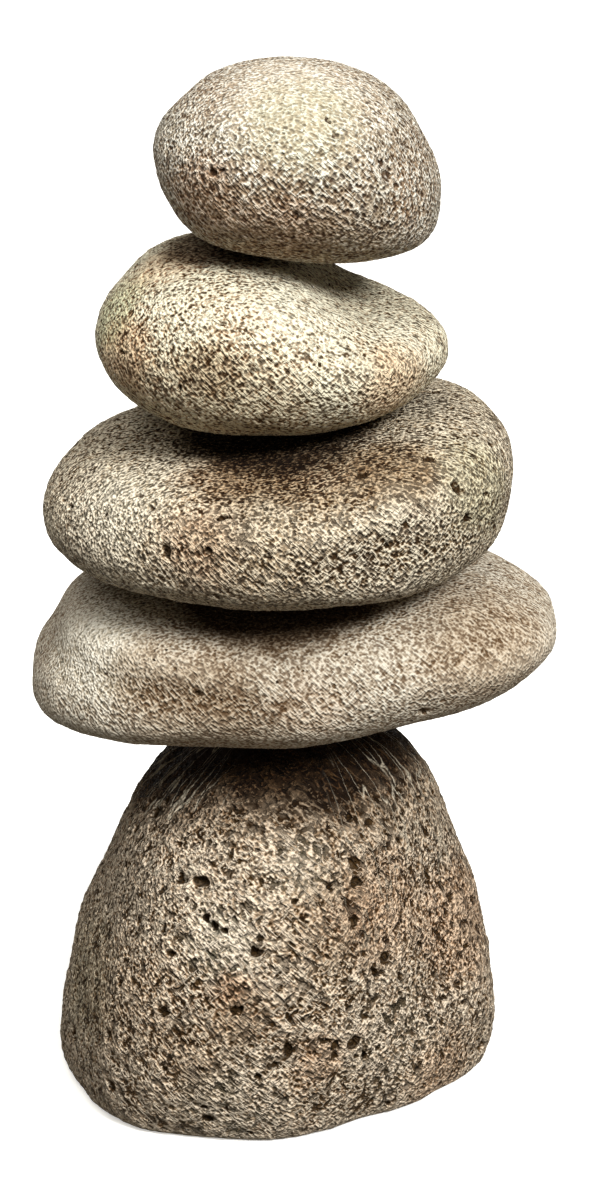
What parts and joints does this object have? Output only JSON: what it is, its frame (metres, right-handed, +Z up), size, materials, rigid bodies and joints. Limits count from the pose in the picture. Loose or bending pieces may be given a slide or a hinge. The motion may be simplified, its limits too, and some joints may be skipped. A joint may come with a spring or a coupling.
{
  "type": "stone cairn",
  "caption": "Cairn of rounded, pitted stones balanced on a domed boulder that stands on a flat foot.",
  "frame": {"origin": "middle of the boulder's flat foot, on the ground", "axes": "+Z up through the stack, +X to its right, -Y to its front"},
  "size_m": [0.176, 0.1376, 0.3574],
  "materials": {
    "base_rock": "matte",
    "fourth_rock": "matte",
    "third_rock": "matte",
    "second_rock": "matte",
    "top_rock": "matte"
  },
  "bodies": {
    "root": {"base_stone": "base_rock", "fourth_stone": "fourth_rock", "third_stone": "third_rock", "second_stone": "second_rock", "top_stone": "top_rock"}
  },
  "joints": []
}
